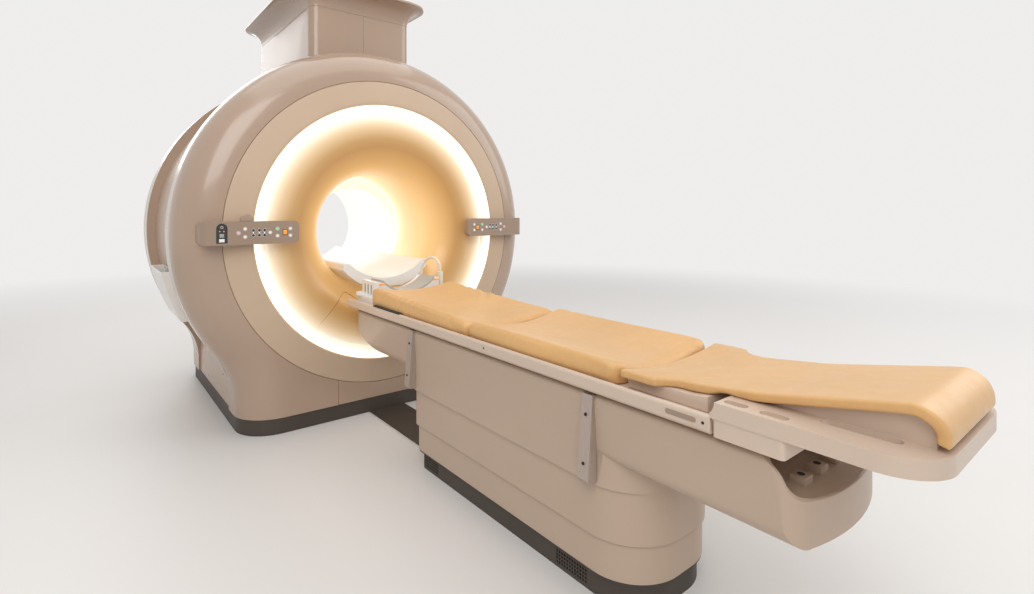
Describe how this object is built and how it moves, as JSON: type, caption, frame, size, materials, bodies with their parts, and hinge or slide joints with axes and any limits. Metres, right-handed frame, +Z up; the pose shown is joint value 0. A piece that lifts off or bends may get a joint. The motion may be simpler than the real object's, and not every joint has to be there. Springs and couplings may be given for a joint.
{
  "type": "mri scanner",
  "caption": "Wide-bore MRI scanner with a glowing front ring, a ceiling column and a lifting patient table with cushions, head coil base and foot handles.",
  "frame": {"origin": "on the floor below the isocentre: on the bore axis, halfway along the magnet", "axes": "+Y runs along the bore from the patient table into the magnet, +Z up, +X to the right seen from the table"},
  "size_m": [2.2, 4.44, 2.59],
  "materials": {
    "shell": "gloss",
    "ring": "satin",
    "glow": "lit",
    "flare": "gloss",
    "bore": "satin",
    "trim": "satin",
    "skirt": "matt",
    "side": "satin",
    "vessel": "brushed",
    "epoxy": "cast",
    "machined": "machined",
    "white": "gloss",
    "lamp": "gloss",
    "key_white": "satin",
    "key_pink": "satin",
    "key_green": "satin",
    "steel": "satin",
    "table": "satin",
    "board": "satin",
    "cushion": "soft",
    "pad": "soft",
    "cable": "satin"
  },
  "bodies": {
    "scanner": {"plinth": "skirt", "front_cover": "shell", "centre_panel": "shell", "front_ring": "ring", "light_ring": "glow", "flare": "flare", "flare_panel": "flare", "bore_liner": "bore", "trim_ring": "trim", "side_cover_left": "side", "side_cover_right": "side", "rear_cover": "shell", "rear_flare": "bore", "cryostat": "vessel", "gradient_coil": "epoxy", "cold_head": "machined", "column_left": "shell", "column_right": "shell", "collar": "shell", "bridge": "white", "panel_left": "shell", "panel_right": "shell", "panel_lamps": "lamp", "sensor_disc": "shell", "side_pocket": "white", "floor_duct": "skirt", "table_plinth": "skirt", "table_base": "steel", "lower_cover": "table"},
    "stage": {"middle_cover": "table", "lift_stage": "steel"},
    "beam": {"lift_head": "steel", "beam_cover": "table", "end_cover": "table", "accessory_posts": "machined"},
    "board": {"tabletop": "board", "foot_frame": "board", "front_cushion": "cushion", "middle_cushion": "cushion", "foot_cushion": "cushion", "head_coil_base": "white", "coil_pad": "pad", "coil_cable": "cable", "coil_connector": "cable"},
    "key_left_1": {"key_left_1": "key_pink"},
    "key_left_2": {"key_left_2": "key_white"},
    "key_left_3": {"key_left_3": "key_white"},
    "key_left_4": {"key_left_4": "key_white"},
    "key_left_5": {"key_left_5": "key_green"},
    "key_left_6": {"key_left_6": "key_white"},
    "key_left_7": {"key_left_7": "key_white"},
    "key_left_8": {"key_left_8": "key_white"},
    "key_right_1": {"key_right_1": "key_pink"},
    "key_right_2": {"key_right_2": "key_white"},
    "key_right_3": {"key_right_3": "key_white"},
    "key_right_4": {"key_right_4": "key_white"},
    "key_right_5": {"key_right_5": "key_green"},
    "key_right_6": {"key_right_6": "key_white"},
    "key_right_7": {"key_right_7": "key_white"},
    "key_right_8": {"key_right_8": "key_white"}
  },
  "joints": [
    {"name": "table_stage", "type": "slide", "parent": "scanner", "child": "stage", "axis": [0, 0, 1], "range_m": [-0.1, 0.1175]},
    {"name": "table_lift", "type": "slide", "parent": "scanner", "child": "beam", "axis": [0, 0, 1], "range_m": [-0.2, 0.235]},
    {"name": "tabletop_slide", "type": "slide", "parent": "beam", "child": "board", "axis": [0, 1, 0], "range_m": [-0.9, 0]},
    {"name": "key_left_1_press", "type": "slide", "parent": "scanner", "child": "key_left_1", "axis": [0, 1, 0], "range_m": [0, 0.0015], "stiffness_N_per_m": 400, "springref_m": -0.001},
    {"name": "key_left_2_press", "type": "slide", "parent": "scanner", "child": "key_left_2", "axis": [0, 1, 0], "range_m": [0, 0.0015], "stiffness_N_per_m": 400, "springref_m": -0.001},
    {"name": "key_left_3_press", "type": "slide", "parent": "scanner", "child": "key_left_3", "axis": [0, 1, 0], "range_m": [0, 0.0015], "stiffness_N_per_m": 400, "springref_m": -0.001},
    {"name": "key_left_4_press", "type": "slide", "parent": "scanner", "child": "key_left_4", "axis": [0, 1, 0], "range_m": [0, 0.0015], "stiffness_N_per_m": 400, "springref_m": -0.001},
    {"name": "key_left_5_press", "type": "slide", "parent": "scanner", "child": "key_left_5", "axis": [0, 1, 0], "range_m": [0, 0.0015], "stiffness_N_per_m": 400, "springref_m": -0.001},
    {"name": "key_left_6_press", "type": "slide", "parent": "scanner", "child": "key_left_6", "axis": [0, 1, 0], "range_m": [0, 0.0015], "stiffness_N_per_m": 400, "springref_m": -0.001},
    {"name": "key_left_7_press", "type": "slide", "parent": "scanner", "child": "key_left_7", "axis": [0, 1, 0], "range_m": [0, 0.0015], "stiffness_N_per_m": 400, "springref_m": -0.001},
    {"name": "key_left_8_press", "type": "slide", "parent": "scanner", "child": "key_left_8", "axis": [0, 1, 0], "range_m": [0, 0.0015], "stiffness_N_per_m": 400, "springref_m": -0.001},
    {"name": "key_right_1_press", "type": "slide", "parent": "scanner", "child": "key_right_1", "axis": [0, 1, 0], "range_m": [0, 0.0015], "stiffness_N_per_m": 400, "springref_m": -0.001},
    {"name": "key_right_2_press", "type": "slide", "parent": "scanner", "child": "key_right_2", "axis": [0, 1, 0], "range_m": [0, 0.0015], "stiffness_N_per_m": 400, "springref_m": -0.001},
    {"name": "key_right_3_press", "type": "slide", "parent": "scanner", "child": "key_right_3", "axis": [0, 1, 0], "range_m": [0, 0.0015], "stiffness_N_per_m": 400, "springref_m": -0.001},
    {"name": "key_right_4_press", "type": "slide", "parent": "scanner", "child": "key_right_4", "axis": [0, 1, 0], "range_m": [0, 0.0015], "stiffness_N_per_m": 400, "springref_m": -0.001},
    {"name": "key_right_5_press", "type": "slide", "parent": "scanner", "child": "key_right_5", "axis": [0, 1, 0], "range_m": [0, 0.0015], "stiffness_N_per_m": 400, "springref_m": -0.001},
    {"name": "key_right_6_press", "type": "slide", "parent": "scanner", "child": "key_right_6", "axis": [0, 1, 0], "range_m": [0, 0.0015], "stiffness_N_per_m": 400, "springref_m": -0.001},
    {"name": "key_right_7_press", "type": "slide", "parent": "scanner", "child": "key_right_7", "axis": [0, 1, 0], "range_m": [0, 0.0015], "stiffness_N_per_m": 400, "springref_m": -0.001},
    {"name": "key_right_8_press", "type": "slide", "parent": "scanner", "child": "key_right_8", "axis": [0, 1, 0], "range_m": [0, 0.0015], "stiffness_N_per_m": 400, "springref_m": -0.001}
  ],
  "couplings": [
    {"joint": "table_stage", "follows": "table_lift", "ratio": 0.5}
  ]
}
